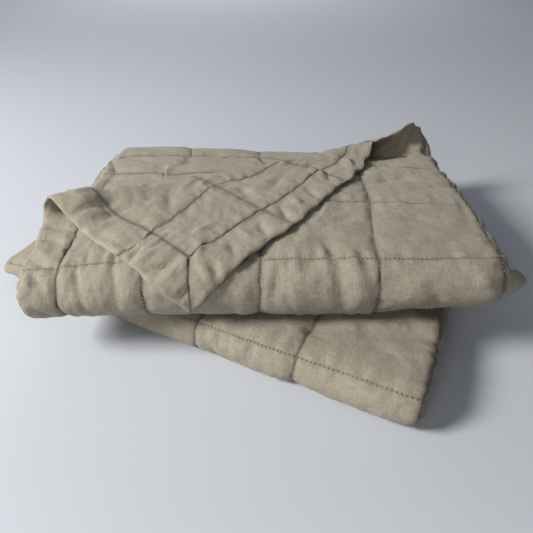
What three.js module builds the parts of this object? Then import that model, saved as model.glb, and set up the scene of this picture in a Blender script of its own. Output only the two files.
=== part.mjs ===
import * as THREE from 'three';

// A quilted cotton bedspread, folded in thirds along its length and then back and forth in four panels, with
// the top corner turned back. Millimetres, Z up. The cloth is worked out flat and then folded:
// u runs across the bedspread from the outer side edge, v along it from the end that lies on top.

// The flat bedspread: square quilting, a shorter row at each end, and a plain mitred border all round
const CELL = 147;
const END_ROW = 88;
const CELLS_ACROSS = 12;
const CELLS_ALONG = 10;
const BORDER = 64;
const WIDTH = 2 * BORDER + CELLS_ACROSS * CELL;
const LENGTH = 2 * (BORDER + END_ROW) + CELLS_ALONG * CELL;
const CLOTH = 6;
const HEM = 3.6;
const SEAM_GAP = 0.3;
const CORNER = 3;

// The folded pads: three layers each, in the order outer third, inner third, middle third from the top
const UPPER_PITCH = 13.5;
const LOWER_PITCH = 10;
const STACK = 2 * UPPER_PITCH;
const END_Y = 925;
const CENTRE = { x: -41.1, y: 659.6 };

// Folds across the strip, from the end that lies on top. start is v where the fold begins on the strip's
// middle line, skew turns its crease, gap is its inner radius, base is the height of its lowest layer
const BACK_SKEW = THREE.MathUtils.degToRad(13);
const CROSS_FOLDS = [
  { name: 'upper front', start: 435, skew: 0, gap: 12.5, base: 0, under: true },
  { name: 'back', start: 881, skew: BACK_SKEW, gap: 4.5, base: 0, under: false },
  { name: 'lower front', start: 1310, skew: 0, gap: 7, base: STACK - 2 * LOWER_PITCH, under: true },
];
for (const fold of CROSS_FOLDS) {
  fold.arc = Math.PI * (fold.gap + STACK - fold.base);
}
const [UPPER_FRONT, BACK, LOWER_FRONT] = CROSS_FOLDS;
const GAPS = CROSS_FOLDS.reduce((sum, fold) => sum + 2 * fold.gap, 0);
const TOP_Z = 4 * UPPER_PITCH + 4 * LOWER_PITCH + GAPS + CLOTH;

// The strip's lengthwise folds: x is measured from the strip's middle line, and a share is how much of the
// cloth's own width shows once it is rumpled
const SEAM_X = -267;
const RIGHT_FOLD_X = 288;
const LEFT_FOLD_X = -308;
const SHARE = { outer: 0.955, middle: 0.9, inner: 0.97, border: 0.86, tightBorder: 0.74 };

// Changes along the strip: each comes on smoothly between two places along it
const STAGES = {
  corner: { from: 60, to: 160 },
  tucked: { from: 230, to: 330 },
  bunched: { from: 260, to: 430 },
  tightened: { from: 330, to: 450 },
  smoothed: { from: 560, to: 800 },
  slid: { from: 960, to: 1230 },
  lowerBunched: { from: 1000, to: 1180 },
  repitched: { from: 10, to: 90 },
};
const CORNER_OUT = 16;
const TUCK = 25;
const SLIDE = { all: 56, seam: 28, right: 26, left: -30 };

// The right-hand fold's swelling on the top panel, and its drawn-out tip on the upper front fold
const SWELL = { at: 300, reach: 120, size: 3 };
const TIP = { at: 505, reach: 24, size: 34 };

// How far the outer third's seams are bunched sideways, at places across it
const BUNCHING = {
  across: [64, 211, 358, 505, 652, 760],
  upperFront: [8, -25, -23, -17, -2, 0],
  lowerPad: [-9, -8, -7, -5, 8, 0],
};

// The turned-back corner: its crease passes point at angle. rest is how high the turned cloth lies, slope
// how many radii it takes to come down, and closed the least turn that lets it lie down
const FLAP = {
  point: { x: -177.5, y: 671.5 },
  angle: THREE.MathUtils.degToRad(24),
  rest: CLOTH + 4,
  slope: 5.5,
  closed: 0.85 * Math.PI,
};
// The crease's rolling radius, and how far it bows away, at places along it
const CREASE = {
  along: [-160, -110, -60, 0, 120, 290, 335, 375, 405, 440, 495, 545],
  radius: [20, 18, 10.5, 7.5, 7, 7, 8, 12, 17, 19, 18, 14],
  bow: [0, 0, -3, -3, -2, 12, 20, 33, 44, 40, 17, 0],
};
// How much of a half turn the crease makes, at places across: it opens towards the right-hand fold
const OPENING = {
  across: [470, 510, 535, 570, 605, 640, 670, 710],
  turned: [1, 0.93, 0.82, 0.64, 0.48, 0.3, 0.14, 0],
};
// How much of the end border's width shows on the turned-back corner, between two places across
const CRUMPLED = { share: 0.8, from: 420, to: 560 };

function ramp(from, to, value) {
  return THREE.MathUtils.smoothstep(value, from, to);
}

function stage(name, value) {
  return ramp(STAGES[name].from, STAGES[name].to, value);
}

function bump({ at, reach, size }, value) {
  return size * Math.exp(-(((value - at) / reach) ** 2));
}

// Reads a row of values between its stops, with share easing or straight
function readRow(place, stops, values, ease) {
  let k = 0;
  while (k < stops.length - 2 && place > stops[k + 1]) {
    k += 1;
  }
  const straight = THREE.MathUtils.clamp((place - stops[k]) / (stops[k + 1] - stops[k]), 0, 1);
  const share = ease ? ramp(0, 1, straight) : straight;
  return THREE.MathUtils.lerp(values[k], values[k + 1], share);
}

// How far each feature of the strip wanders from its first place, worked out at v
function strip(v) {
  const slid = stage('slid', v);
  const corner = CORNER_OUT * (1 - stage('corner', v));
  const tucked = TUCK * (1 - stage('tucked', v));
  const tight = stage('tightened', v);
  return {
    pitch: UPPER_PITCH + (LOWER_PITCH - UPPER_PITCH) * stage('repitched', v - BACK.start - BACK.arc),
    shift: SLIDE.all * slid,
    seamX: SEAM_X + SLIDE.seam * slid,
    rightX: RIGHT_FOLD_X + corner + bump(SWELL, v) + bump(TIP, v) + SLIDE.right * slid,
    leftX: LEFT_FOLD_X + tucked + SLIDE.left * slid,
    slack: tucked,
    borderShare: THREE.MathUtils.lerp(SHARE.border, SHARE.tightBorder, tight),
  };
}

// Where each stretch of the strip's section ends, in u
function stretches(s) {
  const outer = BORDER + (s.rightX - s.seamX) / SHARE.outer;
  const rightArc = outer + Math.PI * s.pitch;
  const middle = rightArc + (s.rightX - s.leftX + s.slack) / SHARE.middle;
  const leftArc = middle + Math.PI * s.pitch / 2;
  return { outer, rightArc, middle, leftArc };
}

// The strip's section: the place across and the height that the lengthwise folds give a point
function section(u, v) {
  const s = strip(v);
  const end = stretches(s);
  const p = s.pitch;
  let x;
  let height;
  if (u < end.outer) {
    x = s.seamX + (u - BORDER) * (u < BORDER ? s.borderShare : SHARE.outer);
    height = STACK;
  } else if (u < end.rightArc) {
    const turn = (u - end.outer) / p;
    x = s.rightX + p * Math.sin(turn);
    height = STACK - p + p * Math.cos(turn);
  } else if (u < end.middle) {
    x = s.rightX - (u - end.rightArc) * SHARE.middle;
    height = STACK - 2 * p;
  } else if (u < end.leftArc) {
    const turn = (u - end.middle) / (p / 2);
    x = s.leftX - p / 2 * Math.sin(turn);
    height = STACK - 1.5 * p - p / 2 * Math.cos(turn);
  } else {
    x = s.leftX + (u - end.leftArc) * SHARE.inner;
    height = STACK - p;
  }
  const front = stage('bunched', v) * (1 - stage('smoothed', v));
  x += front * readRow(u, BUNCHING.across, BUNCHING.upperFront, false);
  x += stage('lowerBunched', v) * readRow(u, BUNCHING.across, BUNCHING.lowerPad, false);
  return { x: x + s.shift, height, end };
}

function creaseBow(along) {
  return readRow(along, CREASE.along, CREASE.bow, true);
}

function creaseRadius(along) {
  return readRow(along, CREASE.along, CREASE.radius, true);
}

// The turned-back corner of the outer third, on the top panel: the sheet rolls over its crease on a cone
// and comes down to lie on the layer below. The roll fades out round the right-hand fold
function turnBack(x, v, u) {
  const dx = x - FLAP.point.x;
  const dy = END_Y - v - FLAP.point.y;
  const cos = Math.cos(FLAP.angle);
  const sin = Math.sin(FLAP.angle);
  const along = dx * cos + dy * sin;
  const bow = creaseBow(along);
  const past = dy * cos - dx * sin - bow;
  const radius = creaseRadius(along);
  const roll = Math.PI * readRow(u, OPENING.across, OPENING.turned, true);
  const run = past + Math.PI / 2 * radius;
  if (run <= 0) {
    return { x, v, lift: 0 };
  }
  const turn = Math.min(run / radius, roll);
  const rest = Math.max(run - roll * radius, 0);
  const fallen = ramp(FLAP.closed, Math.PI, roll) * ramp(0, FLAP.slope * radius, rest);
  const lift = radius * (1 - Math.cos(turn)) + rest * Math.sin(turn) - (2 * radius - FLAP.rest) * fallen;
  const out = bow + radius * (Math.sin(turn) - Math.PI / 2) + rest * Math.cos(turn);
  return {
    x: FLAP.point.x + along * cos - out * sin,
    v: END_Y - FLAP.point.y - along * sin - out * cos,
    lift,
  };
}

// One fold across the strip, as a half turn about its crease. Points that lie past the turn on the flat
// cloth come back the other way
function foldAcross(point, fold, flat) {
  const nx = Math.sin(fold.skew);
  const nv = Math.cos(fold.skew);
  const distance = (at) => (at.v - fold.start) * nv + at.x * nx;
  const flatDistance = distance(flat);
  if (flatDistance <= 0) {
    return point;
  }
  const now = distance(point);
  const turn = flatDistance >= fold.arc ? Math.PI : Math.max(0, now) / fold.arc * Math.PI;
  const rest = flatDistance >= fold.arc ? now - fold.arc : 0;
  const centre = fold.under ? fold.base - fold.gap : STACK + fold.gap;
  const radius = point.z - centre;
  const step = Math.abs(radius) * Math.sin(turn) - rest - now;
  return { x: point.x + step * nx, v: point.v + step * nv, z: centre + radius * Math.cos(turn) };
}

// Changes across the pads, in the strip's own x and y: each comes on smoothly between two places
const PLACES = {
  frontward: { from: 660, to: 520 },
  thinning: { from: 125, to: 185 },
  thinnerStill: { from: 230, to: 290 },
  tipAcross: { from: 292, to: 345 },
  tipFrontward: { from: 540, to: 470 },
  drawnAcross: { from: 270, to: 330 },
  drawnFrontward: { from: 560, to: 430 },
  flatLeft: { from: -120, to: -330 },
  flatLeftFrontward: { from: 640, to: 520 },
  thinLeftEnd: { from: -310, to: -430 },
  firstSag: { from: 640, to: 790 },
  backSag: { from: 800, to: 1000 },
  middleSagAcross: { from: -220, to: 60 },
  middleSagEnd: { from: 290, to: 180 },
  middleSagBack: { from: 760, to: 920 },
  cornerSagBack: { from: 765, to: 870 },
  cornerSagAcross: { from: 120, to: 230 },
  cornerSagEnd: { from: 230, to: 290 },
};
const THINNER = { front: 0.16, still: 0.03, tip: 0.6, tipDepth: 39, drawnBack: 30 };
const FLATTER = { left: 0.12, leftBack: 0.2, end: 0.4 };
const SAG = { first: 8, back: 20, middle: 12, corner: 17, cornerEnd: 0.45 };

function place(name, value) {
  const { from, to } = PLACES[name];
  return from < to ? ramp(from, to, value) : ramp(-from, -to, -value);
}

// The upper pad's front is thinner towards the right, where its fold ends in a low, drawn-in tip
function press(x, y, z) {
  const top = TOP_Z - CLOTH / 2;
  const thinning = THINNER.front * place('thinning', x) + THINNER.still * place('thinnerStill', x);
  const thinned = top - (top - z) * (1 - place('frontward', y) * thinning);
  const middle = top - THINNER.tipDepth;
  const tip = THINNER.tip * place('tipAcross', x) * place('tipFrontward', y);
  return {
    x,
    y: y + THINNER.drawnBack * place('drawnAcross', x) * place('drawnFrontward', y),
    z: middle + (thinned - middle) * (1 - tip),
  };
}

// The top panel sinks at the back, and the left-hand end lies flatter than the rest
function settle(x, y, z, onTop) {
  const upFront = FLATTER.leftBack + (1 - FLATTER.leftBack) * place('flatLeftFrontward', y);
  const flatter = FLATTER.left * place('flatLeft', x) * upFront + FLATTER.end * place('thinLeftEnd', x);
  let height = CLOTH / 2 + (z - CLOTH / 2) * (1 - flatter);
  if (onTop) {
    height -= SAG.first * place('firstSag', y) + SAG.back * place('backSag', y);
    height -= SAG.middle * place('middleSagAcross', x) * place('middleSagBack', y) * place('middleSagEnd', x);
    const corner = place('cornerSagBack', y) * place('cornerSagAcross', x);
    height -= SAG.corner * corner * (1 - SAG.cornerEnd * place('cornerSagEnd', x));
  }
  return new THREE.Vector3(x - CENTRE.x, y - CENTRE.y, height);
}

// The top panel ends part of the way round the upper front fold, and the upper pad in its second panel
const TOP_PANEL_END = UPPER_FRONT.start + 0.6 * UPPER_FRONT.arc;
const PRESSED_END = (UPPER_FRONT.start + BACK.start) / 2 + 60;

// Where a point of the flat bedspread's middle surface lies once it is all folded
function folded(u, flatV) {
  const short = (1 - CRUMPLED.share) * (1 - ramp(CRUMPLED.from, CRUMPLED.to, u));
  const v = flatV + Math.max(BORDER - flatV, 0) * short;
  const s = section(u, v);
  const flat = { x: s.x, v };
  let point = { x: s.x, v, z: s.height };
  const zAt = (z) => TOP_Z - CLOTH / 2 - STACK + z;
  const onTop = v < TOP_PANEL_END;
  if (u < s.end.rightArc && v < UPPER_FRONT.start) {
    const flap = turnBack(s.x, v, u);
    const past = flap.v - UPPER_FRONT.start;
    if (flap.lift > 0 && past > 0) {
      // The tip goes over the upper front fold by a quarter turn and hangs straight down from there
      const radius = UPPER_FRONT.gap + STACK + FLAP.rest;
      const turn = Math.min(past / radius, Math.PI / 2);
      const hang = Math.max(past - radius * Math.PI / 2, 0);
      const y = END_Y - UPPER_FRONT.start - radius * Math.sin(turn);
      return settle(flap.x, y, zAt(-UPPER_FRONT.gap + radius * Math.cos(turn)) - hang, onTop);
    }
    point = { x: flap.x, v: flap.v, z: s.height + flap.lift };
    return settle(point.x, END_Y - point.v, zAt(point.z), onTop);
  }
  for (const fold of [...CROSS_FOLDS].reverse()) {
    point = foldAcross(point, fold, flat);
  }
  let spot = { x: point.x, y: END_Y - point.v, z: zAt(point.z) };
  if (v < PRESSED_END) {
    spot = press(spot.x, spot.y, spot.z);
  }
  return settle(spot.x, spot.y, spot.z, onTop);
}

// The middle surface moved out along its normal by offset
const NEAR = 0.5;
function surface(u, v, offset) {
  const along = folded(u + NEAR, v).sub(folded(u - NEAR, v));
  const down = folded(u, v + NEAR).sub(folded(u, v - NEAR));
  const normal = down.cross(along).normalize();
  return folded(u, v).addScaledVector(normal, offset);
}

// Grid lines across the strip, in bands. to is where a band ends, at x, and crowd above 1 draws its lines
// towards its start. Lines follow the turned-back corner's crease, and then the back fold's skewed one
function creaseLine(x, side) {
  const along = (x - FLAP.point.x) / Math.cos(FLAP.angle);
  const away = creaseBow(along) - side * Math.PI / 2 * creaseRadius(along);
  return END_Y - FLAP.point.y - (x - FLAP.point.x) * Math.tan(FLAP.angle) - away / Math.cos(FLAP.angle);
}

function backLine(x, distance) {
  return BACK.start + distance / Math.cos(BACK_SKEW) - x * Math.tan(BACK_SKEW);
}

const LEAST_BAND = 8;
const BANDS = [
  { to: (x) => Math.max(creaseLine(x, -1), BORDER + LEAST_BAND), count: 5, crowd: 1.5 },
  { to: (x) => Math.max(creaseLine(x, 1), BORDER + 2 * LEAST_BAND), count: 8, crowd: 1 },
  { to: () => UPPER_FRONT.start, count: 4, crowd: 1 },
  { to: () => UPPER_FRONT.start + UPPER_FRONT.arc, count: 8, crowd: 1 },
  { to: (x) => backLine(x, 0), count: 3, crowd: 1 },
  { to: (x) => backLine(x, BACK.arc), count: 7, crowd: 1 },
  { to: () => LOWER_FRONT.start, count: 4, crowd: 1 },
  { to: () => LOWER_FRONT.start + LOWER_FRONT.arc, count: 6, crowd: 1 },
  { to: () => LENGTH - BORDER, count: 3, crowd: 1 },
];
const ROWS = BANDS.flatMap((band, k) => {
  const from = k === 0 ? () => BORDER : BANDS[k - 1].to;
  const last = k === BANDS.length - 1 ? 1 : 0;
  return Array.from({ length: band.count + last }, (_, i) => {
    const share = (i / band.count) ** band.crowd;
    return (x) => THREE.MathUtils.lerp(from(x), band.to(x), share);
  });
});

function rowAt(row, u) {
  return row(section(u, row(0)).x);
}

// Column lines follow the stretches of the strip's section, so each is a share of one stretch. crowd above 1
// draws them towards its start and below 1 towards its end, where the top panel's corner sinks
const FLAP_WIDE = 300;
const CURL_WIDE = 500;
const COLUMN_PLAN = [
  { from: () => BORDER, to: () => FLAP_WIDE, count: 10, crowd: 1 },
  { from: () => FLAP_WIDE, to: () => CURL_WIDE, count: 4, crowd: 1 },
  { from: () => CURL_WIDE, to: (end) => end.outer, count: 6, crowd: 1 },
  { from: (end) => end.outer, to: (end) => end.rightArc, count: 4, crowd: 1 },
  { from: (end) => end.rightArc, to: (end) => end.middle, count: 6, crowd: 1.5 },
  { from: (end) => end.middle, to: (end) => end.leftArc, count: 3, crowd: 1 },
  { from: (end) => end.leftArc, to: () => WIDTH - BORDER, count: 5, crowd: 0.7 },
];
const COLUMNS = COLUMN_PLAN.flatMap((part, k) => {
  const last = k === COLUMN_PLAN.length - 1 ? 1 : 0;
  const shareOf = (i) => (i / part.count) ** part.crowd;
  return Array.from({ length: part.count + last }, (_, i) => ({ part, share: shareOf(i) }));
});

function columnAt(column, v) {
  const end = stretches(strip(v));
  return THREE.MathUtils.lerp(column.part.from(end), column.part.to(end), column.share);
}

// A closed sheet over a grid of flat points, each { u, v, thick }
function sheet(name, grid, material) {
  const rows = grid.length;
  const columns = grid[0].length;
  const positions = [];
  for (const side of [1, -1]) {
    for (const line of grid) {
      for (const { u, v, thick } of line) {
        positions.push(...surface(u, v, side * thick / 2).toArray());
      }
    }
  }
  const at = (side, i, j) => side * rows * columns + i * columns + j;
  const index = [];
  const quad = (a, b, c, d) => index.push(a, b, c, a, c, d);
  for (let i = 0; i < rows - 1; i += 1) {
    for (let j = 0; j < columns - 1; j += 1) {
      quad(at(0, i, j), at(0, i + 1, j), at(0, i + 1, j + 1), at(0, i, j + 1));
      quad(at(1, i, j), at(1, i, j + 1), at(1, i + 1, j + 1), at(1, i + 1, j));
    }
    quad(at(0, i, 0), at(1, i, 0), at(1, i + 1, 0), at(0, i + 1, 0));
    quad(at(0, i, columns - 1), at(0, i + 1, columns - 1), at(1, i + 1, columns - 1), at(1, i, columns - 1));
  }
  for (let j = 0; j < columns - 1; j += 1) {
    quad(at(0, 0, j), at(0, 0, j + 1), at(1, 0, j + 1), at(1, 0, j));
    quad(at(0, rows - 1, j), at(1, rows - 1, j), at(1, rows - 1, j + 1), at(0, rows - 1, j + 1));
  }
  const geometry = new THREE.BufferGeometry();
  geometry.setAttribute('position', new THREE.Float32BufferAttribute(positions, 3));
  geometry.setIndex(index);
  geometry.computeVertexNormals();
  const mesh = new THREE.Mesh(geometry, material);
  mesh.name = name;
  return mesh;
}

function cotton(color) {
  return new THREE.MeshStandardMaterial({ color, roughness: 0.92, metalness: 0 });
}

const bedspread = new THREE.Group();

// The quilted panel, inside the border
const inset = SEAM_GAP / 2;
const within = (value, most) => THREE.MathUtils.clamp(value, BORDER + inset, most - BORDER - inset);
bedspread.add(sheet('quilted_panel', ROWS.map((row) => COLUMNS.map((column) => {
  const v = rowAt(row, columnAt(column, row(0)));
  return { u: within(columnAt(column, v), WIDTH), v: within(v, LENGTH), thick: CLOTH };
})), cotton(0x8f876f)));

// The four border strips, mitred where they meet. ACROSS shares out a strip's width from its outer edge
const ACROSS = [0, 1 / 2, 1];
const MITRE = [CORNER, BORDER / 3, BORDER * 2 / 3];

function borderPoint(depth, share) {
  const inner = Math.min(depth, BORDER) - inset;
  return { out: share * inner, thick: THREE.MathUtils.lerp(HEM, CLOTH, share * inner / BORDER) };
}

function sideBorder(farSide) {
  const lines = [
    ...MITRE.map((v) => ({ row: () => v, depth: v })),
    ...ROWS.map((row) => ({ row, depth: BORDER })),
    ...[...MITRE].reverse().map((v) => ({ row: () => LENGTH - v, depth: v })),
  ];
  return lines.map((line) => {
    const points = ACROSS.map((share) => {
      const { out, thick } = borderPoint(line.depth, share);
      const u = farSide ? WIDTH - out : out;
      return { u, v: rowAt(line.row, u), thick };
    });
    return farSide ? points.reverse() : points;
  });
}

function endBorder(farEnd) {
  const v0 = farEnd ? LENGTH : 0;
  const lines = [
    ...MITRE.map((u) => ({ u: () => u, depth: u })),
    ...COLUMNS.map((column) => ({ u: (v) => columnAt(column, v), depth: BORDER })),
    ...[...MITRE].reverse().map((u) => ({ u: () => WIDTH - u, depth: u })),
  ];
  const rows = ACROSS.map((share) => lines.map((line) => {
    const { out, thick } = borderPoint(line.depth, share);
    const v = farEnd ? v0 - out : out;
    return { u: line.u(v), v, thick };
  }));
  return farEnd ? rows.reverse() : rows;
}

bedspread.add(sheet('border_outer_side', sideBorder(false), cotton(0x948c74)));
bedspread.add(sheet('border_inner_side', sideBorder(true), cotton(0x948c74)));
bedspread.add(sheet('border_top_end', endBorder(false), cotton(0x928a72)));
bedspread.add(sheet('border_foot_end', endBorder(true), cotton(0x928a72)));

export default bedspread;
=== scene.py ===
import math

import bpy
import numpy as np
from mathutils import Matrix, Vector


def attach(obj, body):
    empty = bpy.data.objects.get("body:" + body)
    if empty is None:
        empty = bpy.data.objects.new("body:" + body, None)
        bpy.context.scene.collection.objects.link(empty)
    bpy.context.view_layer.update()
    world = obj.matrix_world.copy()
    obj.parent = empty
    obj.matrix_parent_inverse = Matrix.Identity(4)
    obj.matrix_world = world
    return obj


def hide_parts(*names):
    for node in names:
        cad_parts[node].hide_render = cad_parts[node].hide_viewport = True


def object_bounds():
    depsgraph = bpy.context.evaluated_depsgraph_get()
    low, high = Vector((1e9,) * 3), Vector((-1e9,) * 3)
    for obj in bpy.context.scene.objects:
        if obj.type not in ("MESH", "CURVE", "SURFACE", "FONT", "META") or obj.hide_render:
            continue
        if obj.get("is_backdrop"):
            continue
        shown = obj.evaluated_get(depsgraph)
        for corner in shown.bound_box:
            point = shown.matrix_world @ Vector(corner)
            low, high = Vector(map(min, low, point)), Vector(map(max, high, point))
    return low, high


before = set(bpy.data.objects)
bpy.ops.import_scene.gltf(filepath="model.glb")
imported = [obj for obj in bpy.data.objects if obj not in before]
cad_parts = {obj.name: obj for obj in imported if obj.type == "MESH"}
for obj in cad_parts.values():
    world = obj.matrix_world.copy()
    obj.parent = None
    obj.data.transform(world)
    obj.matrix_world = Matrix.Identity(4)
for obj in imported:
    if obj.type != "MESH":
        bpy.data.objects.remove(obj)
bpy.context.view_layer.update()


# Camera. A moderately wide lens from in front and above, as in the photograph.
camera = bpy.data.objects.new("camera", bpy.data.cameras.new("camera"))
bpy.context.scene.collection.objects.link(camera)
camera.data.lens = 32.08
camera.data.sensor_width = 36.0
camera.location = (0.0411, -0.6596, 0.483)
camera.rotation_euler = (math.radians(54), 0, 0)
bpy.context.scene.camera = camera


# How the bedspread is folded. It is cut and sewn flat, with u across it and v along it in millimetres,
# folded in thirds along its length, then back and forth in four panels, and one corner is turned back.
CELL = 147
END_ROW = 88
BORDER = 64
WIDTH = 2 * BORDER + 12 * CELL
LENGTH = 2 * (BORDER + END_ROW) + 10 * CELL
CLOTH = 6
UPPER_PITCH = 13.5
LOWER_PITCH = 10
STACK = 2 * UPPER_PITCH
END_Y = 925
CENTRE_X = -41.1
CENTRE_Y = 659.6
BACK_SKEW = math.radians(13)


def cross_fold(start, gap, base, under, skew=0.0):
    """A fold across the strip: where it starts, its inner radius, its lowest layer and its slant."""
    arc = math.pi * (gap + STACK - base)
    return {"start": start, "gap": gap, "base": base, "under": under, "skew": skew, "arc": arc}


UPPER_FRONT = cross_fold(start=435, gap=12.5, base=0, under=True)
BACK = cross_fold(start=881, gap=4.5, base=0, under=False, skew=BACK_SKEW)
LOWER_FRONT = cross_fold(start=1310, gap=7, base=STACK - 2 * LOWER_PITCH, under=True)
CROSS_FOLDS = (UPPER_FRONT, BACK, LOWER_FRONT)
TOP_Z = 4 * UPPER_PITCH + 4 * LOWER_PITCH + 2 * sum(fold["gap"] for fold in CROSS_FOLDS) + CLOTH
SHARE = {"outer": 0.955, "middle": 0.9, "inner": 0.97, "border": 0.86}
FLAP = {"x": -177.5, "y": 671.5, "turn": math.radians(24), "rest": CLOTH + 4, "slope": 5.5,
        "closed": 0.85 * math.pi}
# The turned-back corner's crease: its roll's radius and how far it bows away, at places along it
CREASE = {
    "along": (-160, -110, -60, 0, 120, 290, 335, 375, 405, 440, 495, 545),
    "radius": (20, 18, 10.5, 7.5, 7, 7, 8, 12, 17, 19, 18, 14),
    "bow": (0, 0, -3, -3, -2, 12, 20, 33, 44, 40, 17, 0),
}
# How much of a half turn the crease makes, at places across: it opens towards the right-hand fold
OPENING = {
    "across": (470, 510, 535, 570, 605, 640, 670, 710),
    "turned": (1, 0.93, 0.82, 0.64, 0.48, 0.3, 0.14, 0),
}


def ramp(low, high, value):
    """Goes smoothly from 0 at low to 1 at high."""
    t = np.clip((value - low) / (high - low), 0.0, 1.0)
    return t * t * (3.0 - 2.0 * t)


def bump(at, reach, value):
    """Rises smoothly to 1 at a place and falls off within its reach."""
    return np.exp(-((value - at) / reach) ** 2)


# Where the strip's seam and its two lengthwise folds lie across, before anything moves them
SEAM_X = -267
RIGHT_X = 288
LEFT_X = -308
# The lower pad is slid across, and its seam and folds come further apart
SLIDE = {"v": (960, 1230), "all": 56, "seam": 28, "right": 26, "left": 30}
# At the top end the right-hand fold reaches further out and the left-hand fold is drawn in
CORNER = {"v": (60, 160), "out": 16}
DRAWN = {"v": (230, 330), "in": 25}
RIGHT_SWELLS = (
    {"v": 300, "reach": 120, "out": 3},
    {"v": 505, "reach": 24, "out": 34},
)
NARROWED_BORDER = {"v": (330, 450), "by": 0.12}
# How far past the back fold the layers come to lie closer together
CLOSER = (10, 90)


def strip(v):
    """Where the strip's seam and its two lengthwise folds lie at v, and how far apart its layers are."""
    slid = ramp(*SLIDE["v"], v)
    drawn = DRAWN["in"] * (1 - ramp(*DRAWN["v"], v))
    right_x = RIGHT_X + CORNER["out"] * (1 - ramp(*CORNER["v"], v))
    for swell in RIGHT_SWELLS:
        right_x = right_x + swell["out"] * bump(swell["v"], swell["reach"], v)
    past_back = v - BACK["start"] - BACK["arc"]
    return {
        "pitch": UPPER_PITCH + (LOWER_PITCH - UPPER_PITCH) * ramp(*CLOSER, past_back),
        "shift": SLIDE["all"] * slid,
        "seam_x": SEAM_X + SLIDE["seam"] * slid,
        "right_x": right_x + SLIDE["right"] * slid,
        "left_x": LEFT_X + drawn - SLIDE["left"] * slid,
        "slack": drawn,
        "border": SHARE["border"] - NARROWED_BORDER["by"] * ramp(*NARROWED_BORDER["v"], v),
    }


# The outer third is bunched under the turned-back corner: how far each of its seams is moved across
BUNCHED = {
    "seam": (BORDER, 211, 358, 505, 652, 760),
    "upper front": (8, -25, -23, -17, -2, 0),
    "lower pad": (-9, -8, -7, -5, 8, 0),
}
# Where along v that bunching grows and fades
BUNCHED_FRONT = {"grows": (260, 430), "fades": (560, 800)}
BUNCHED_LOWER = (1000, 1180)


def stretches(s):
    """Where each stretch of the strip's section ends, in u."""
    outer = BORDER + (s["right_x"] - s["seam_x"]) / SHARE["outer"]
    right_arc = outer + math.pi * s["pitch"]
    middle = right_arc + (s["right_x"] - s["left_x"] + s["slack"]) / SHARE["middle"]
    left_arc = middle + math.pi * s["pitch"] / 2
    return outer, right_arc, middle, left_arc


def section(u, v):
    """The place across and the height that the lengthwise folds give a point."""
    s = strip(v)
    outer, right_arc, middle, left_arc = stretches(s)
    p = s["pitch"]
    right_turn = np.clip((u - outer) / p, 0, math.pi)
    left_turn = np.clip((u - middle) / (p / 2), 0, math.pi)
    across_outer = np.where(u < BORDER, s["border"], SHARE["outer"])
    stretch = [u < outer, u < right_arc, u < middle, u < left_arc]
    x = np.select(stretch, [
        s["seam_x"] + (u - BORDER) * across_outer,
        s["right_x"] + p * np.sin(right_turn),
        s["right_x"] - (u - right_arc) * SHARE["middle"],
        s["left_x"] - p / 2 * np.sin(left_turn),
    ], s["left_x"] + (u - left_arc) * SHARE["inner"])
    height = np.select(stretch, [
        STACK + 0 * p,
        STACK - p + p * np.cos(right_turn),
        STACK - 2 * p,
        STACK - 1.5 * p - p / 2 * np.cos(left_turn),
    ], STACK - p)
    front = ramp(*BUNCHED_FRONT["grows"], v) * (1 - ramp(*BUNCHED_FRONT["fades"], v))
    moved = front * np.interp(u, BUNCHED["seam"], BUNCHED["upper front"])
    moved = moved + ramp(*BUNCHED_LOWER, v) * np.interp(u, BUNCHED["seam"], BUNCHED["lower pad"])
    return x + s["shift"] + moved, height


def smooth_row(place, stops, values):
    """Reads a row of values between its stops, easing in and out at each."""
    k = np.clip(np.searchsorted(stops, place) - 1, 0, len(stops) - 2)
    low = np.take(stops, k)
    high = np.take(stops, k + 1)
    share = ramp(low, high, place)
    return np.take(values, k) * (1 - share) + np.take(values, k + 1) * share


def turn_back(x, v, u):
    """The turned-back corner: the sheet rolls over its crease and comes to lie on the layer below."""
    cos = math.cos(FLAP["turn"])
    sin = math.sin(FLAP["turn"])
    dx = x - FLAP["x"]
    dy = END_Y - v - FLAP["y"]
    along = dx * cos + dy * sin
    bow = smooth_row(along, CREASE["along"], CREASE["bow"])
    past = dy * cos - dx * sin - bow
    radius = smooth_row(along, CREASE["along"], CREASE["radius"])
    roll = math.pi * smooth_row(u, OPENING["across"], OPENING["turned"])
    run = past + math.pi / 2 * radius
    turn = np.clip(run / radius, 0, roll)
    rest = np.maximum(run - roll * radius, 0)
    fallen = ramp(FLAP["closed"], math.pi, roll) * ramp(0, FLAP["slope"] * radius, rest)
    lift = radius * (1 - np.cos(turn)) + rest * np.sin(turn) - (2 * radius - FLAP["rest"]) * fallen
    out = bow + radius * (np.sin(turn) - math.pi / 2) + rest * np.cos(turn)
    turned = run > 0
    new_x = np.where(turned, FLAP["x"] + along * cos - out * sin, x)
    new_v = np.where(turned, END_Y - FLAP["y"] - along * sin - out * cos, v)
    return new_x, new_v, np.where(turned, lift, 0)


def fold_across(x, v, z, fold, flat_x, flat_v):
    """One fold across the strip, as a half turn about its crease."""
    nx = math.sin(fold["skew"])
    nv = math.cos(fold["skew"])
    flat_distance = (flat_v - fold["start"]) * nv + flat_x * nx
    now = (v - fold["start"]) * nv + x * nx
    whole = flat_distance >= fold["arc"]
    turn = np.where(whole, math.pi, np.maximum(0, now) / fold["arc"] * math.pi)
    rest = np.where(whole, now - fold["arc"], 0)
    centre = fold["base"] - fold["gap"] if fold["under"] else STACK + fold["gap"]
    radius = z - centre
    step = np.abs(radius) * np.sin(turn) - rest - now
    past = flat_distance > 0
    return (np.where(past, x + step * nx, x), np.where(past, v + step * nv, v),
            np.where(past, centre + radius * np.cos(turn), z))


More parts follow.
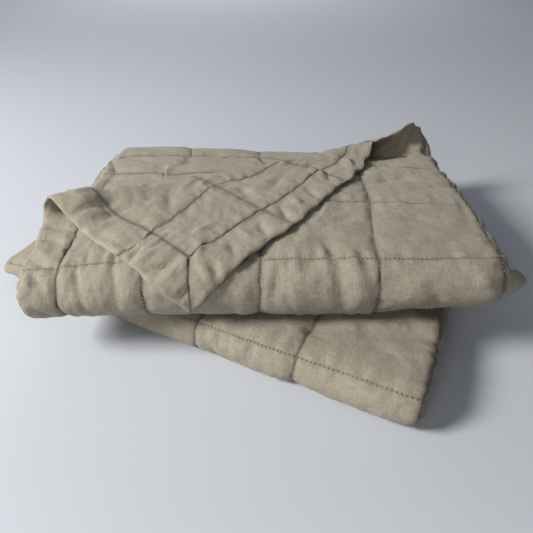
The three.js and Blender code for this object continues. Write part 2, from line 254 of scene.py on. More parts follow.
# The upper pad's front is thinner towards the right, and its tip there is low and drawn in
THINNER = {"y": (520, 660), "first": 0.16, "first_x": (125, 185), "then": 0.03, "then_x": (230, 290)}
TIP = {"below_top": 39, "thinner": 0.6, "x": (292, 345), "y": (470, 540)}
TIP_DRAWN = {"in": 30, "x": (270, 330), "y": (430, 560)}


def press(x, y, z):
    """The upper pad's front is thinner towards the right, where its fold ends in a low, drawn-in tip."""
    front = 1 - ramp(*THINNER["y"], y)
    top = TOP_Z - CLOTH / 2
    thinner = THINNER["first"] * ramp(*THINNER["first_x"], x) + THINNER["then"] * ramp(*THINNER["then_x"], x)
    z = top - (top - z) * (1 - front * thinner)
    middle = top - TIP["below_top"]
    z = middle + (z - middle) * (1 - TIP["thinner"] * ramp(*TIP["x"], x) * (1 - ramp(*TIP["y"], y)))
    y = y + TIP_DRAWN["in"] * ramp(*TIP_DRAWN["x"], x) * (1 - ramp(*TIP_DRAWN["y"], y))
    return x, y, z


# How much lower the left-hand end lies, as a share of its height, and less so at the back
LEFT_END = {"x": (120, 330), "lower": 0.12, "y": (520, 640), "less": 0.8}
LEFT_TIP = {"x": (310, 430), "lower": 0.4}
# How far the top panel sags: each sag deepens over its y and x, and loses a share again over less_x
EVERYWHERE = (-2000, -1999)
SAGS = (
    {"deep": 8, "y": (640, 790), "x": EVERYWHERE, "less": 0, "less_x": EVERYWHERE},
    {"deep": 20, "y": (800, 1000), "x": EVERYWHERE, "less": 0, "less_x": EVERYWHERE},
    {"deep": 12, "y": (760, 920), "x": (-220, 60), "less": 1, "less_x": (180, 290)},
    {"deep": 17, "y": (765, 870), "x": (120, 230), "less": 0.45, "less_x": (230, 290)},
)


def settle(x, y, z, on_top):
    """The cloth sinks under its weight: more at the left-hand end and at the back of the top panel."""
    left = ramp(*LEFT_END["x"], -x) * (1 - LEFT_END["less"] * ramp(*LEFT_END["y"], y))
    kept = 1 - LEFT_END["lower"] * left - LEFT_TIP["lower"] * ramp(*LEFT_TIP["x"], -x)
    height = CLOTH / 2 + (z - CLOTH / 2) * kept
    sag = 0
    for row in SAGS:
        over_x = ramp(*row["x"], x) * (1 - row["less"] * ramp(*row["less_x"], x))
        sag = sag + row["deep"] * ramp(*row["y"], y) * over_x
    height = height - np.where(on_top, sag, 0)
    return np.stack([x - CENTRE_X, y - CENTRE_Y, height], -1)


# The end border lies crumpled on the turned-back corner, a share narrower, and flat again in the curl
CRUMPLED = {"by": 0.2, "u": (420, 560)}
# How far along v the top panel and the upper pad reach
TOP_PANEL_END = UPPER_FRONT["start"] + 0.6 * UPPER_FRONT["arc"]
UPPER_PAD_END = (UPPER_FRONT["start"] + BACK["start"]) / 2 + 60


def folded(u, v):
    """Where points of the flat bedspread's middle surface lie once it is all folded, in millimetres."""
    v = v + np.maximum(BORDER - v, 0) * CRUMPLED["by"] * (1 - ramp(*CRUMPLED["u"], u))
    s = strip(v)
    right_arc = stretches(s)[1]
    x, height = section(u, v)
    level = TOP_Z - CLOTH / 2 - STACK
    on_top = v < TOP_PANEL_END
    start = UPPER_FRONT["start"]
    fx, fv, lift = turn_back(x, v, u)
    past = fv - start
    over = UPPER_FRONT["gap"] + STACK + FLAP["rest"]
    turn = np.clip(past / over, 0, math.pi / 2)
    hang = np.maximum(past - over * math.pi / 2, 0)
    tip = settle(fx, END_Y - start - over * np.sin(turn),
                 level - UPPER_FRONT["gap"] + over * np.cos(turn) - hang, on_top)
    flap = settle(fx, END_Y - fv, level + height + lift, on_top)
    flap = np.where(((lift > 0) & (past > 0))[..., None], tip, flap)
    fold_x, fold_v, fold_z = x, v, height
    for fold in reversed(CROSS_FOLDS):
        fold_x, fold_v, fold_z = fold_across(fold_x, fold_v, fold_z, fold, x, v)
    fold_y = END_Y - fold_v
    in_upper = v < UPPER_PAD_END
    press_x, press_y, press_z = press(fold_x, fold_y, level + fold_z)
    rest = settle(np.where(in_upper, press_x, fold_x), np.where(in_upper, press_y, fold_y),
                  np.where(in_upper, press_z, level + fold_z), on_top)
    return np.where(((u < right_arc) & (v < start))[..., None], flap, rest)


def normals(u, v):
    """The face side's direction out of the middle surface."""
    step = 0.5
    along = folded(u + step, v) - folded(u - step, v)
    down = folded(u, v + step) - folded(u, v - step)
    n = np.cross(down, along)
    return n / np.linalg.norm(n, axis=-1, keepdims=True)


# How quilted cotton lies. Each square is padded and held down along its stitched sides, which pucker,
# and washing leaves soft wrinkles in between.
SEAMS_ACROSS = BORDER + CELL * np.arange(13)
SEAMS_ALONG = np.concatenate([[BORDER], BORDER + END_ROW + CELL * np.arange(11), [LENGTH - BORDER]])
SEAM_HALF = 1.0
PUFF_HALF = 4.1
PUFF_REACH = 9.0
PUFF_SHARPNESS = 1.2
THINNEST_HALF = 0.7
HEM_REACH = 3.0
FULLNESS = {"usual": 0.86, "varies": 0.14, "size": 120}
# Below the turned-back corner the seams that run across hold the cloth down less
LOOSER = {"v": (200, 240), "puff": 0.62, "ditch": 0.7}
PUCKER = {"high": 4.8, "reach": 15, "start": 2.0, "long": 40, "short": 12}
BEND = {"by": 26, "size": 60}
SOFT_WRINKLE = {"high": 1.4, "a": 34, "b": 52}
FINE_WRINKLE = {"high": 0.9, "a": 26, "b": 17}
SWELL = {"high": 1.3, "size": 80}


def noise(x, y, seed):
    """Smooth random bumps between about -1 and 1, one to a unit; each seed has its own pattern."""
    angles = np.random.default_rng(seed).uniform(0, 2 * math.pi, (64, 64))
    column = np.floor(x).astype(int)
    row = np.floor(y).astype(int)
    fx = x - column
    fy = y - row
    total = 0
    for i in (0, 1):
        for j in (0, 1):
            angle = angles[(column + i) % 64, (row + j) % 64]
            dx = fx - i
            dy = fy - j
            wx = 1 - np.abs(dx)
            wy = 1 - np.abs(dy)
            wx = wx ** 3 * (wx * (wx * 6 - 15) + 10)
            wy = wy ** 3 * (wy * (wy * 6 - 15) + 10)
            total = total + wx * wy * (np.cos(angle) * dx + np.sin(angle) * dy)
    return 1.5 * total


def seam_distance(place, seams):
    """How far points are from the nearest seam line, and that line's number."""
    gaps = np.abs(place[..., None] - seams)
    return gaps.min(-1), gaps.argmin(-1)


def pattern_distances(a, b):
    """Distance to the nearest seam across and along. The mitred corners are sewn from corner to corner."""
    edge_a = np.minimum(a, WIDTH - a)
    edge_b = np.minimum(b, LENGTH - b)
    da, line_a = seam_distance(a, SEAMS_ACROSS)
    db, line_b = seam_distance(b, SEAMS_ALONG)
    da = np.where(edge_b < BORDER, seam_distance(a, SEAMS_ACROSS[1:-1])[0], da)
    db = np.where(edge_a < BORDER, seam_distance(b, SEAMS_ALONG[1:-1])[0], db)
    mitre = np.abs(edge_a - edge_b) / math.sqrt(2)
    in_side = edge_a < np.minimum(edge_b, BORDER)
    in_end = edge_b < np.minimum(edge_a, BORDER)
    da = np.where(in_side, np.minimum(BORDER - edge_a, mitre), da)
    db = np.where(in_end, np.minimum(BORDER - edge_b, mitre), db)
    return da, db, line_a, line_b, np.minimum(edge_a, edge_b)


# Where seams stray furthest from straight: place on the flat cloth, reach, and how far across and along
STRAYS = (
    {"u": 211, "v": 152, "reach": 62, "across": 9, "along": 23},
    {"u": 211, "v": 64, "reach": 60, "across": 2, "along": 4},
    {"u": 358, "v": 64, "reach": 60, "across": 18, "along": 9},
    {"u": 64, "v": 152, "reach": 50, "across": 4, "along": -7},
    {"u": 5, "v": 152, "reach": 40, "across": 0, "along": -18},
    {"u": 652, "v": 299, "reach": 75, "across": 5, "along": 14},
    {"u": 652, "v": 152, "reach": 60, "across": 0, "along": 17},
    {"u": 652, "v": 64, "reach": 55, "across": 14, "along": 0},
    {"u": 1534, "v": 64, "reach": 50, "across": 14, "along": 0},
    {"u": 1534, "v": 152, "reach": 45, "across": -38, "along": 8},
)
STRAY = {"by": 2.2, "long": 190, "short": 170}
WAVY_HEM = {"side": 3.5, "end": 4.0, "long": 30, "reach": 14}
# Seams meet the hem straight, and the waves of the hem end at the corners
HEM_HELD = 30
CORNER_HELD = (2, 20)


def wander(a, b):
    """Seams are sewn by hand and eye, so they stray a little from straight."""
    across = STRAY["by"] * noise(a / STRAY["long"], b / STRAY["short"], 3)
    along = STRAY["by"] * noise(a / STRAY["short"], b / STRAY["long"], 4)
    for row in STRAYS:
        near = np.exp(-((a - row["u"]) ** 2 + (b - row["v"]) ** 2) / row["reach"] ** 2)
        across = across + row["across"] * near
        along = along + row["along"] * near
    side = np.minimum(a, WIDTH - a)
    end = np.minimum(b, LENGTH - b)
    long = WAVY_HEM["long"]
    reach = WAVY_HEM["reach"]
    wavy_side = WAVY_HEM["side"] * noise(b / long, a * 0 + 2, 31) * np.exp(-side / reach)
    wavy_end = WAVY_HEM["end"] * noise(a / long, b * 0 + 5, 32) * np.exp(-end / reach)
    return (a + across * ramp(0, HEM_HELD, side) + wavy_side * ramp(*CORNER_HELD, end),
            b + along * ramp(0, HEM_HELD, end) + wavy_end * ramp(*CORNER_HELD, side))


# Creases that show: where each starts and ends in u and v, its half width and its depth.
# A depth below zero is a ridge.
CREASE_DEEPER = 2.0
CREASE_NARROWER = 0.85
CREASE_SHARPNESS = 1.25
CREASE_END = 0.06
# On the turned-back corner, up to this u and v, the cloth's other side shows
OTHER_SIDE = {"u": 460, "v": 330}
CREASE_COLUMNS = ("u", "v", "to_u", "to_v", "width", "depth")
CREASES = [dict(zip(CREASE_COLUMNS, row)) for row in (
    # on the turned-back corner's side border
    (4, 244, 70, 240, 5, 3.2), (4, 170, 58, 148, 5, 3.4), (2, 130, 34, 138, 4, 2.4),
    (2, 97, 50, 70, 5, 3.6), (4, 78, 46, 76, 4, 2.2), (1, 34, 36, 30, 4, 3.0),
    (10, 205, 60, 212, 6, -2.2), (8, 118, 44, 104, 5, -2.0),
    # on its end border
    (66, 50, 98, 72, 6, -2.4), (76, 34, 72, 8, 5, 3.0), (124, 48, 104, 12, 6, 3.2),
    (150, 52, 142, 18, 6, -2.4), (184, 48, 162, 6, 5, 2.8), (232, 52, 214, 8, 6, 3.2),
    (268, 60, 250, 16, 6, -2.4), (300, 55, 286, 6, 5, 2.8), (367, 62, 333, 12, 6, 3.0),
    (412, 56, 398, 14, 5, 2.4), (445, 55, 414, 10, 6, -2.2),
    # on its squares
    (84, 292, 150, 318, 8, 2.6), (112, 158, 172, 226, 10, 2.2), (250, 92, 318, 112, 8, 2.4),
    (313, 190, 296, 222, 6, 2.6), (96, 96, 142, 88, 7, -2.0), (224, 92, 236, 128, 6, 2.2),
    # in the curl and on the cloth in front of it
    (590, 6, 560, 100, 6, -3.0), (622, 4, 604, 110, 6, 3.2), (655, 8, 618, 108, 6, -3.2),
    (640, 20, 660, 120, 5, 2.6), (560, 20, 540, 96, 7, 2.6), (500, 150, 640, 140, 7, 2.8),
    (524, 232, 600, 206, 9, 2.8), (560, 262, 690, 224, 9, 2.6), (520, 196, 640, 172, 8, -2.2),
    (640, 292, 634, 366, 8, 2.4),
    # on the top and the front fold
    (449, 368, 486, 338, 8, 2.4), (545, 341, 602, 362, 8, 2.2), (382, 452, 374, 506, 7, 2.6),
    (440, 392, 452, 452, 8, 2.6), (452, 452, 462, 510, 7, 3.0), (470, 420, 484, 500, 7, -2.6),
    (560, 416, 640, 396, 9, 2.0), (560, 470, 588, 540, 9, 2.2), (604, 440, 640, 500, 8, -2.0),
    (250, 440, 262, 520, 8, 2.0), (160, 420, 170, 500, 9, 2.2), (96, 438, 110, 500, 7, 2.0),
    # on the left-hand border band
    (2, 428, 56, 444, 6, 3.6), (14, 452, 52, 478, 5, 3.4), (2, 408, 40, 420, 5, -2.6),
    (4, 350, 58, 362, 6, 3.4), (6, 376, 60, 392, 5, 2.8), (8, 318, 60, 322, 6, -2.6),
    (12, 500, 50, 520, 6, 2.6),
    # at the back left
    (1404, 62, 1480, 112, 8, 3.0), (1560, 38, 1640, 92, 8, 2.8), (1455, 148, 1498, 128, 6, 2.8),
    (1440, 20, 1500, 34, 5, 2.4), (1590, 20, 1660, 30, 6, -2.4),
    # on the lower pad
    (550, 1262, 684, 1220, 12, 2.0), (494, 1290, 528, 1262, 7, 2.6), (392, 1402, 440, 1412, 9, 2.0),
    (700, 1280, 716, 1408, 7, 2.8), (680, 1186, 668, 1216, 6, 2.6), (380, 1340, 396, 1398, 8, 2.0),
)]


def relief(a, b):
    """Half thickness on each side and the middle surface's own rise, in millimetres."""
    da, db, line_a, line_b, edge = pattern_distances(a, b)
    taut = 1 - LOOSER["puff"] * ramp(*LOOSER["v"], b)
    held_a = np.exp(-(da / PUFF_REACH) ** PUFF_SHARPNESS)
    held_b = taut * np.exp(-(db / PUFF_REACH) ** PUFF_SHARPNESS)
    puff = (1 - held_a) * (1 - held_b)
    size = FULLNESS["size"]
    full = FULLNESS["usual"] + FULLNESS["varies"] * noise(a / size + 7, b / size, 5)
    rim = 1 - np.exp(-edge / HEM_REACH)
    half = SEAM_HALF + (PUFF_HALF - SEAM_HALF) * puff * full * rim
    near_a = np.exp(-da / PUCKER["reach"]) * (1 - np.exp(-da / PUCKER["start"]))
    near_b = np.exp(-db / PUCKER["reach"]) * (1 - np.exp(-db / PUCKER["start"]))
    pucker_a = noise(a / PUCKER["long"] + 3 * line_a, b / PUCKER["short"], 11) * near_a
    pucker_b = noise(a / PUCKER["short"], b / PUCKER["long"] + 3 * line_b, 12) * near_b
    half = half + PUCKER["high"] * (pucker_a + pucker_b) * rim
    bend_a = a + BEND["by"] * noise(a / BEND["size"], b / BEND["size"], 21)
    bend_b = b + BEND["by"] * noise(a / BEND["size"], b / BEND["size"], 22)
    soft = 1 - 2 * np.abs(noise(bend_a / SOFT_WRINKLE["a"], bend_b / SOFT_WRINKLE["b"], 23))
    fine = 1 - 2 * np.abs(noise(bend_b / FINE_WRINKLE["b"], bend_a / FINE_WRINKLE["a"], 25))
    rise = (SOFT_WRINKLE["high"] * soft + FINE_WRINKLE["high"] * fine) * puff
    rise = rise + SWELL["high"] * noise(a / SWELL["size"], b / SWELL["size"], 24)
    for crease in CREASES:
        from_u = a - crease["u"]
        from_v = b - crease["v"]
        run_u = crease["to_u"] - crease["u"]
        run_v = crease["to_v"] - crease["v"]
        share = np.clip((from_u * run_u + from_v * run_v) / (run_u * run_u + run_v * run_v), 0, 1)
        away = np.hypot(from_u - share * run_u, from_v - share * run_v)
        trough = np.exp(-(away / (CREASE_NARROWER * crease["width"])) ** CREASE_SHARPNESS)
        ends = np.sin(math.pi * np.clip(share, CREASE_END, 1 - CREASE_END))
        other_side = crease["u"] < OTHER_SIDE["u"] and crease["v"] < OTHER_SIDE["v"]
        side = -1 if other_side else 1
        rise = rise - side * CREASE_DEEPER * crease["depth"] * trough * ends
    return np.maximum(half, THINNEST_HALF), rise


# The underside is pressed flat where the bedspread rests
RESTING = 0.0001
# How far beside a seam the painted shade of its ditch and of its row of stitch holes reaches
DITCH_HALF = 2.4
HOLE_HALF = 2.0


def cloth(name, a, b):
    """A closed sheet over a grid of flat places, in metres, with its flat place as a UV map."""
    u, v = wander(a, b)
    half, rise = relief(a, b)
    middle = folded(u, v)
    out = normals(u, v)
    rows, columns = a.shape
    sides = [middle + out * (rise + side * half)[..., None] for side in (1, -1)]
    points = np.concatenate([side.reshape(-1, 3) for side in sides]) / 1000
    points[:, 2] = np.maximum(points[:, 2], RESTING)
    number = np.arange(rows * columns).reshape(rows, columns)
    p, q, r, s = number[:-1, :-1], number[1:, :-1], number[1:, 1:], number[:-1, 1:]
    face = np.stack([p, q, r, s], -1).reshape(-1, 4)
    back = np.stack([p, s, r, q], -1).reshape(-1, 4) + rows * columns
    ring = np.concatenate([number[0, :-1], number[:-1, -1], number[-1, :0:-1], number[:0:-1, 0]])
    onward = np.roll(ring, -1)
    rim = np.stack([ring, onward, onward + rows * columns, ring + rows * columns], -1)
    quads = np.concatenate([face, back, rim])
    mesh = bpy.data.meshes.new(name)
    mesh.from_pydata(points.tolist(), [], quads.tolist())
    flat = np.tile(np.stack([a, b], -1).reshape(-1, 2) / 1000, (2, 1))
    uv = mesh.uv_layers.new(name="flat")
    uv.data.foreach_set("uv", flat[quads.reshape(-1)].astype(np.float32).ravel())
    da, db = pattern_distances(a, b)[:2]
    tight = 1 - LOOSER["ditch"] * ramp(*LOOSER["v"], b)
    # Masks for the painted shade in the ditches and in the stitch holes
    marks = {
        "ditch": np.maximum(np.exp(-da / DITCH_HALF), np.exp(-db / DITCH_HALF) * tight),
        "seam_across": np.exp(-da / HOLE_HALF),
        "seam_along": np.exp(-db / HOLE_HALF),
    }
    for mark, values in marks.items():
        layer = mesh.attributes.new(mark, "FLOAT", "POINT")
        layer.data.foreach_set("value", np.tile(values.ravel(), 2).astype(np.float32))
    mesh.shade_smooth()
    piece = bpy.data.objects.new(name, mesh)
    bpy.context.scene.collection.objects.link(piece)
    return piece


NEEDLE_PITCH = 0.0055
# The cotton's noises: how they are stretched, how fine and detailed they are, and between what they turn
COTTON_NOISES = {
    "bloom": {"stretch": (1, 1, 1), "scale": 9.0, "detail": 4.0, "low": 0.3, "high": 0.7},
    "mottle": {"stretch": (1, 1, 1), "scale": 160.0, "detail": 3.0, "low": 0.3, "high": 0.7},
    "warp": {"stretch": (1, 24, 1), "scale": 60.0, "detail": 2.0, "low": 0.35, "high": 0.65},
    "weft": {"stretch": (24, 1, 1), "scale": 60.0, "detail": 2.0, "low": 0.35, "high": 0.65},
    "grain": {"stretch": (1, 1, 1), "scale": 900.0, "detail": 2.0, "low": 0.3, "high": 0.7},
}
MOTTLED = 0.1
GRAINY = 0.3
# Painted shade in the stitched ditches and in the stitch holes: its colour and how strong it is
DITCH_SHADE = {"colour": (0.16, 0.13, 0.1, 1), "amount": 0.85}
HOLE_SHADE = {"colour": (0.12, 0.1, 0.08, 1), "amount": 0.65, "across": 0.4}
# The colour sockets of a mix node
MIX_FIRST = 6
MIX_SECOND = 7
MIX_AMOUNT = 0
MIX_RESULT = 2


def cotton(name, light, dark):
    """Washed plain-weave cotton: slubby threads both ways, a faded bloom, and painted shade in its stitched
    ditches and stitch holes.
    """
    material = bpy.data.materials.new(name)
    material.use_nodes = True
    nodes = material.node_tree.nodes
    links = material.node_tree.links
    shader = nodes["Principled BSDF"]
    shader.inputs["Roughness"].default_value = 0.9
    shader.inputs["Specular IOR Level"].default_value = 0.25
    shader.inputs["Sheen Weight"].default_value = 0.12
    shader.inputs["Sheen Roughness"].default_value = 0.5
    place = nodes.new("ShaderNodeUVMap")
    place.uv_map = "flat"

    def noise_node(stretch, scale, detail):
        mapping = nodes.new("ShaderNodeMapping")
        mapping.inputs["Scale"].default_value = stretch
        links.new(place.outputs["UV"], mapping.inputs["Vector"])
        texture = nodes.new("ShaderNodeTexNoise")
        texture.inputs["Scale"].default_value = scale
        texture.inputs["Detail"].default_value = detail
        links.new(mapping.outputs["Vector"], texture.inputs["Vector"])
        return texture.outputs["Fac"]

    def give(value, socket):
        if isinstance(value, bpy.types.NodeSocket):
            links.new(value, socket)
        else:
            socket.default_value = value

    def mix(kind, first, second, amount):
        node = nodes.new("ShaderNodeMix")
        node.data_type = "RGBA"
        node.blend_type = kind
        for number, value in ((MIX_FIRST, first), (MIX_SECOND, second), (MIX_AMOUNT, amount)):
            give(value, node.inputs[number])
        return node.outputs[MIX_RESULT]

    def steps(value, low, high):
        node = nodes.new("ShaderNodeMapRange")
        node.inputs["From Min"].default_value = low
        node.inputs["From Max"].default_value = high
        links.new(value, node.inputs["Value"])
        return node.outputs["Result"]

    def sum_up(kind, first, second):
        node = nodes.new("ShaderNodeMath")
        node.operation = kind
        give(first, node.inputs[0])
        give(second, node.inputs[1])
        return node.outputs["Value"]

    def mark(name):
        node = nodes.new("ShaderNodeAttribute")
        node.attribute_name = name
        return node.outputs["Fac"]

    def dots(coordinate, seam):
        wave = sum_up("SINE", sum_up("MULTIPLY", coordinate, 2 * math.pi / NEEDLE_PITCH), 0.0)
        return sum_up("MULTIPLY", steps(wave, 0.0, 0.6), steps(mark(seam), 0.45, 0.8))

    made = {}
    for kind, row in COTTON_NOISES.items():
        made[kind] = steps(noise_node(row["stretch"], row["scale"], row["detail"]), row["low"], row["high"])
    base = mix("MIX", (*dark, 1), (*light, 1), made["bloom"])
    threads = mix("MIX", made["warp"], made["weft"], 0.5)
    base = mix("SOFT_LIGHT", base, threads, GRAINY)
    base = mix("SOFT_LIGHT", base, made["mottle"], MOTTLED)
    base = mix("SOFT_LIGHT", base, made["grain"], GRAINY)
    # Painted shade darkens the stitched ditches
    shaded = sum_up("MULTIPLY", mark("ditch"), DITCH_SHADE["amount"])
    base = mix("MULTIPLY", base, DITCH_SHADE["colour"], shaded)
    # Painted shade darkens the stitch holes, in dots at the needle's pitch along each seam
    split = nodes.new("ShaderNodeSeparateXYZ")
    links.new(place.outputs["UV"], split.inputs["Vector"])
    across = sum_up("MULTIPLY", dots(split.outputs["Y"], "seam_across"), HOLE_SHADE["across"])
    holes = sum_up("MAXIMUM", across, dots(split.outputs["X"], "seam_along"))
    base = mix("MULTIPLY", base, HOLE_SHADE["colour"], sum_up("MULTIPLY", holes, HOLE_SHADE["amount"]))
    links.new(base, shader.inputs["Base Color"])
    small = nodes.new("ShaderNodeBump")
    small.inputs["Strength"].default_value = 0.4
    small.inputs["Distance"].default_value = 0.0006
    links.new(mix("MIX", threads, made["grain"], 0.5), small.inputs["Height"])
    wash = nodes.new("ShaderNodeBump")
    wash.inputs["Strength"].default_value = 0.6
    wash.inputs["Distance"].default_value = 0.004
    links.new(noise_node((1, 1, 1), 48.0, 4.0), wash.inputs["Height"])
    links.new(small.outputs["Normal"], wash.inputs["Normal"])
    links.new(wash.outputs["Normal"], shader.inputs["Normal"])
    return material


# Quilted panel: the centre of the bedspread, cloth, filling and backing stitched through in squares.
# It is one piece, folded, so the same sheet makes every layer of both pads.
SEAM_STEPS = (1.6, 4.2, 8.0, 12.5)
SEAM_GAP = 0.15
ROW_PLAN = (
    {"to": 372, "step": 4.3, "crisp": True},
    {"to": 600, "step": 5.9, "crisp": True},
    {"to": 880, "step": 35, "crisp": False},
    {"to": 1040, "step": 10, "crisp": False},
    {"to": 1181, "step": 24, "crisp": False},
    {"to": 1475, "step": 6, "crisp": True},
    {"to": LENGTH - BORDER, "step": 30, "crisp": False},
)
COLUMN_PLAN = (
    {"to": 431, "step": 4.6, "crisp": True},
    {"to": 740, "step": 5.9, "crisp": True},
    {"to": 1374, "step": 53, "crisp": False},
    {"to": 1413, "step": 3.9, "crisp": False},
    {"to": WIDTH - BORDER, "step": 13, "crisp": True},
)
# A seam this near to the end of a stretch has no lines of its own
SEAM_CLEAR = 20
# The columns up to here keep their places, and those at the left-hand fold keep this far past it
FIXED_COLUMNS = 740
FOLD_MARGIN = 8


def grid_lines(start, plan, seams):
    """Lines for the mesh, close together beside each seam where the plan asks for crisp seams."""
    lines = [start]
    for stretch in plan:
        stops = [s for s in seams if lines[-1] + SEAM_CLEAR < s < stretch["to"] - SEAM_CLEAR] + [stretch["to"]]
        for stop in stops:
            low = lines[-1]
            near = SEAM_STEPS if stretch["crisp"] else ()
            inner = near[-1] if near else 0
            count = max(1, round((stop - low - 2 * inner) / stretch["step"]))
            between = np.linspace(low + inner, stop - inner, count + 1)
            lines += [low + d for d in near[:-1]] + list(between[0 if near else 1:])
            lines += [stop - d for d in reversed(near[:-1])] + ([stop] if near else [])
    return np.array(lines)


ROWS = grid_lines(BORDER, ROW_PLAN, SEAMS_ALONG)
COLUMNS = grid_lines(BORDER, COLUMN_PLAN, SEAMS_ACROSS)


def column_at(home, v):
    """The grid's columns follow the left-hand fold, which lies further out in the lower pad."""
    def stops(at):
        middle, left_arc = stretches(strip(at))[2:]
        return [0, FIXED_COLUMNS, middle - FOLD_MARGIN, left_arc + FOLD_MARGIN, WIDTH]

    return np.stack([np.interp(home, stops(0.0), stops(float(at))) for at in v])


inner_rows = np.clip(ROWS, BORDER + SEAM_GAP, LENGTH - BORDER - SEAM_GAP)
panel_a = np.clip(column_at(COLUMNS, ROWS), BORDER + SEAM_GAP, WIDTH - BORDER - SEAM_GAP)
panel_b = np.broadcast_to(inner_rows[:, None], panel_a.shape)
panel = cloth("quilted_centre", panel_a, panel_b)
panel.data.materials.append(cotton("quilted_cotton", (0.287, 0.254, 0.197), (0.25, 0.218, 0.166)))
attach(panel, "root")
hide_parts("quilted_panel")


# Border: four plain strips round the panel, mitred at the corners and hemmed to a thin edge.
# The quilting lines run on across them.
MITRE_STEP = 2.0
EDGE_STEPS = (0.5, 1.8, 4.2, 8, 13, 19, 25.5, 32, 38.5, 45, 51, 56, 59.8, 62.4, 64)
border_cotton = cotton("border_cotton", (0.294, 0.261, 0.204), (0.256, 0.224, 0.171))


def border_grid(lines, depths):
    """Flat places of a strip: outward distance and place along, with the mitre at each end."""
    share = np.concatenate([[0], np.array(EDGE_STEPS) / BORDER])
    inner = np.minimum(depths, BORDER) - SEAM_GAP
    return share[None, :] * inner[:, None], np.broadcast_to(lines[:, None], (len(lines), len(share)))


def mitred(lines, length):
    """A strip's own lines with the corner's added, and each one's distance from the corner."""
    corner = np.array((MITRE_STEP,) + EDGE_STEPS[2:-1])
    every = np.concatenate([corner, lines, (length - corner)[::-1]])
    return every, np.minimum(every, length - every)


side_lines, side_depths = mitred(ROWS, LENGTH)
end_lines, end_depths = mitred(COLUMNS, WIDTH)
for name, side, far in (("border_outer_side", True, False), ("border_inner_side", True, True),
                        ("border_top_end", False, False), ("border_foot_end", False, True)):
    if side:
        out, along = border_grid(side_lines, side_depths)
        a = WIDTH - out[:, ::-1] if far else out
        b = along
    else:
        out, along = border_grid(end_lines, end_depths)
        b = (LENGTH - out[:, ::-1] if far else out).T
        a = along.T
    piece = cloth(name.replace("border_", "") + "_strip", a, b)
    piece.data.materials.append(border_cotton)
    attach(piece, "root")
    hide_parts(name)


# Quilting stitches: short, evenly spaced stitches in a thread of the cloth's own colour.
# They run down every ditch that shows.
STITCH_LINES = (
    {"seams": "across", "first": 0, "last": 4, "from": 2, "to": 640, "sides": (1, -1)},
    {"seams": "across", "first": 0, "last": 4, "from": 1040, "to": 1475, "sides": (1,)},
    {"seams": "along", "first": 0, "last": 4, "from": 2, "to": 735, "sides": (1, -1)},
    {"seams": "along", "first": 8, "last": 9, "from": 2, "to": 735, "sides": (1,)},
    {"seams": "across", "first": 10, "last": 11, "from": 2, "to": 200, "sides": (1,)},
    {"seams": "along", "first": 0, "last": 1, "from": 1420, "to": 1828, "sides": (1,)},
)
STITCH_LENGTH = 0.0034
THREAD = 0.00045
STITCH_PROUD = 0.15
LINE_STEP = 2.0

line_points = []
line_edges = []
for row in STITCH_LINES:
    across = row["seams"] == "across"
    for seam in (SEAMS_ACROSS if across else SEAMS_ALONG)[row["first"]:row["last"] + 1]:
        edge_seam = min(seam, (WIDTH if across else LENGTH) - seam) <= BORDER
        low = max(row["from"], BORDER) if edge_seam else row["from"]
        run = np.arange(low, row["to"], LINE_STEP)
        a, b = (np.full_like(run, seam), run) if across else (run, np.full_like(run, seam))
        u, v = wander(a, b)
        half, rise = relief(a, b)
        for side in row["sides"]:
            out = rise + side * (half + STITCH_PROUD)
            place = (folded(u, v) + normals(u, v) * out[:, None]) / 1000
            first = len(line_points)
            line_points += place.tolist()
            line_edges += [(first + k, first + k + 1) for k in range(len(run) - 1)]

lines_mesh = bpy.data.meshes.new("quilting_lines")
lines_mesh.from_pydata(line_points, line_edges, [])
stitches = bpy.data.objects.new("quilting_stitches", lines_mesh)
bpy.context.scene.collection.objects.link(stitches)

thread = bpy.data.materials.new("quilting_thread")
thread.use_nodes = True
thread_nodes = thread.node_tree.nodes
thread_shader = thread_nodes["Principled BSDF"]
thread_shader.inputs["Roughness"].default_value = 0.75
thread_shader.inputs["Sheen Weight"].default_value = 0.1
thread_place = thread_nodes.new("ShaderNodeTexCoord")
thread_noise = thread_nodes.new("ShaderNodeTexNoise")
thread_noise.inputs["Scale"].default_value = 700.0
thread_tint = thread_nodes.new("ShaderNodeValToRGB")
thread_tint.color_ramp.elements[0].color = (0.17, 0.145, 0.105, 1)
thread_tint.color_ramp.elements[1].color = (0.27, 0.235, 0.175, 1)
thread.node_tree.links.new(thread_place.outputs["Object"], thread_noise.inputs["Vector"])
thread.node_tree.links.new(thread_noise.outputs["Fac"], thread_tint.inputs["Fac"])
thread.node_tree.links.new(thread_tint.outputs["Color"], thread_shader.inputs["Base Color"])

sewing = bpy.data.node_groups.new("sewing", "GeometryNodeTree")
sewing.interface.new_socket("Lines", in_out="INPUT", socket_type="NodeSocketGeometry")
pitch_socket = sewing.interface.new_socket("Pitch", in_out="INPUT", socket_type="NodeSocketFloat")
length_socket = sewing.interface.new_socket("Stitch length", in_out="INPUT", socket_type="NodeSocketFloat")
thread_socket = sewing.interface.new_socket("Thread", in_out="INPUT", socket_type="NodeSocketFloat")
sewing.interface.new_socket("Stitches", in_out="OUTPUT", socket_type="NodeSocketGeometry")
add = sewing.nodes.new
given = add("NodeGroupInput")
result = add("NodeGroupOutput")
to_curve = add("GeometryNodeMeshToCurve")
resample = add("GeometryNodeResampleCurve")
resample.mode = "LENGTH"
tangent = add("GeometryNodeInputTangent")
turn = add("FunctionNodeAlignRotationToVector")
turn.axis = "Z"
bead = add("GeometryNodeMeshUVSphere")
bead.inputs["Segments"].default_value = 6
bead.inputs["Rings"].default_value = 4
half_length = add("ShaderNodeMath")
half_length.operation = "MULTIPLY"
half_length.inputs[1].default_value = 0.5
shape = add("ShaderNodeCombineXYZ")
scatter = add("GeometryNodeInstanceOnPoints")
realize = add("GeometryNodeRealizeInstances")
dye = add("GeometryNodeSetMaterial")
dye.inputs["Material"].default_value = thread
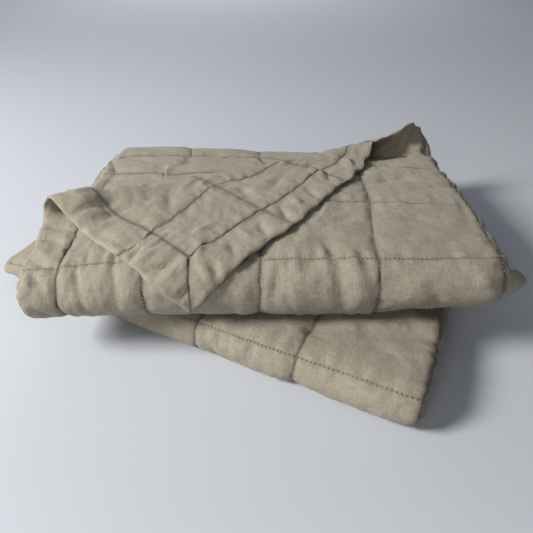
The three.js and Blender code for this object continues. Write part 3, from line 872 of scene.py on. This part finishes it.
for output, target in (
    (given.outputs["Lines"], to_curve.inputs["Mesh"]),
    (to_curve.outputs["Curve"], resample.inputs["Curve"]),
    (given.outputs["Pitch"], resample.inputs["Length"]),
    (resample.outputs["Curve"], scatter.inputs["Points"]),
    (tangent.outputs["Tangent"], turn.inputs["Vector"]),
    (turn.outputs["Rotation"], scatter.inputs["Rotation"]),
    (given.outputs["Stitch length"], half_length.inputs[0]),
    (given.outputs["Thread"], shape.inputs["X"]),
    (given.outputs["Thread"], shape.inputs["Y"]),
    (half_length.outputs["Value"], shape.inputs["Z"]),
    (shape.outputs["Vector"], scatter.inputs["Scale"]),
    (bead.outputs["Mesh"], scatter.inputs["Instance"]),
    (scatter.outputs["Instances"], realize.inputs["Geometry"]),
    (realize.outputs["Geometry"], dye.inputs["Geometry"]),
    (dye.outputs["Geometry"], result.inputs["Stitches"]),
):
    sewing.links.new(output, target)
machine = stitches.modifiers.new("sewing", "NODES")
machine.node_group = sewing
machine[pitch_socket.identifier] = NEEDLE_PITCH
machine[length_socket.identifier] = STITCH_LENGTH
machine[thread_socket.identifier] = THREAD
stitches.update_tag()
graph = bpy.context.evaluated_depsgraph_get()
baked = bpy.data.meshes.new_from_object(stitches.evaluated_get(graph))
stitches.modifiers.clear()
stitches.data = baked
baked.shade_smooth()
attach(stitches, "root")


# Floor: a plain pale blue-grey paper sheet.
FLOOR_SIZE = 14.0
FLOOR_GAP = 0.0005
floor_mesh = bpy.data.meshes.new("floor")
half_floor = FLOOR_SIZE / 2
floor_mesh.from_pydata([(-half_floor, -half_floor, 0), (half_floor, -half_floor, 0),
                        (half_floor, half_floor, 0), (-half_floor, half_floor, 0)], [], [(0, 1, 2, 3)])
floor = bpy.data.objects.new("floor", floor_mesh)
floor.location.z = -FLOOR_GAP
bpy.context.scene.collection.objects.link(floor)
paper = bpy.data.materials.new("floor_paper")
paper.use_nodes = True
paper_shader = paper.node_tree.nodes["Principled BSDF"]
paper_shader.inputs["Base Color"].default_value = (0.485, 0.507, 0.545, 1)
paper_shader.inputs["Roughness"].default_value = 0.8
paper_shader.inputs["Specular IOR Level"].default_value = 0.2
floor_mesh.materials.append(paper)
floor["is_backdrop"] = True


# Light: a strong soft light from the left, a weak one in front, one on the backdrop, and a pale room.
LIGHTS = (
    {"name": "key", "at": (-2.3, -0.75, 1.75), "to": (0, 0, 0.05), "size": 0.8, "watts": 132,
     "colour": (1.0, 0.985, 0.965)},
    {"name": "front", "at": (-0.9, -2.3, 1.3), "to": (0, 0, 0.05), "size": 0.9, "watts": 15,
     "colour": (1.0, 0.985, 0.965)},
    {"name": "backdrop", "at": (-0.6, 4.2, 2.4), "to": (-0.2, 4.4, 0), "size": 2.5, "watts": 66,
     "colour": (0.97, 0.98, 1.0)},
)
for row in LIGHTS:
    data = bpy.data.lights.new(row["name"], "AREA")
    data.energy = row["watts"]
    data.size = row["size"]
    data.color = row["colour"]
    light = bpy.data.objects.new(row["name"], data)
    light.location = row["at"]
    light.rotation_euler = (Vector(row["to"]) - light.location).to_track_quat("-Z", "Y").to_euler()
    bpy.context.scene.collection.objects.link(light)
room = bpy.data.worlds.new("room")
room.use_nodes = True
room.node_tree.nodes["Background"].inputs["Color"].default_value = (0.86, 0.91, 1.0, 1)
room.node_tree.nodes["Background"].inputs["Strength"].default_value = 0.17
bpy.context.scene.world = room
bpy.context.scene.view_settings.view_transform = "Standard"


low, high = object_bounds()
